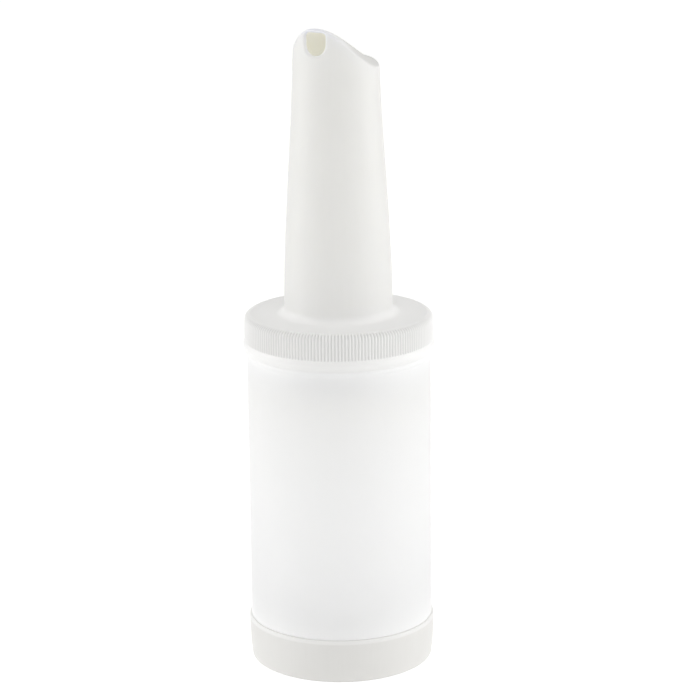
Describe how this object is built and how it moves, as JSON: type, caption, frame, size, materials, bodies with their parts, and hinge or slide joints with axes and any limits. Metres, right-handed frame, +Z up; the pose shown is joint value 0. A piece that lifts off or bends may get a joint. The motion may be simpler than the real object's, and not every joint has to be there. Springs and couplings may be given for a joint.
{
  "type": "pour bottle",
  "caption": "Straight pour bottle with a ribbed screw collar, a tall tapered neck, a pour hole in its slanted closed tip, and a storage lid parked on its foot.",
  "frame": {"origin": "centre of the storage lid's flat base, where the bottle stands on the table", "axes": "+Z up along the bottle's axis, -Y towards the pour hole, +X to the right when the pour hole faces the viewer"},
  "size_m": [0.0902, 0.0902, 0.3053],
  "materials": {
    "lid_white": "satin white moulded plastic",
    "container_natural": "natural, milky translucent moulded plastic",
    "washer_silicone": "soft translucent silicone",
    "neck_white": "semi-gloss white moulded plastic"
  },
  "bodies": {
    "lid": {"storage_lid": "lid_white"},
    "container": {"container": "container_natural"},
    "washer": {"sealing_washer": "washer_silicone"},
    "neck": {"pour_neck": "neck_white"}
  },
  "joints": [
    {"name": "container_lift", "type": "slide", "parent": "lid", "child": "container", "axis": [0, 0, 1], "range_m": [0, 0.04]},
    {"name": "neck_lift", "type": "slide", "parent": "container", "child": "washer", "axis": [0, 0, 1], "range_m": [0, 0.025]},
    {"name": "neck_turn", "type": "hinge", "parent": "washer", "child": "neck", "pos_m": [0, 0, 0.1657], "axis": [0, 0, 1], "range_deg": [0, 1800]}
  ],
  "couplings": [
    {"joint": "neck_lift", "follows": "neck_turn", "m_per_rad": 0.00079577}
  ]
}
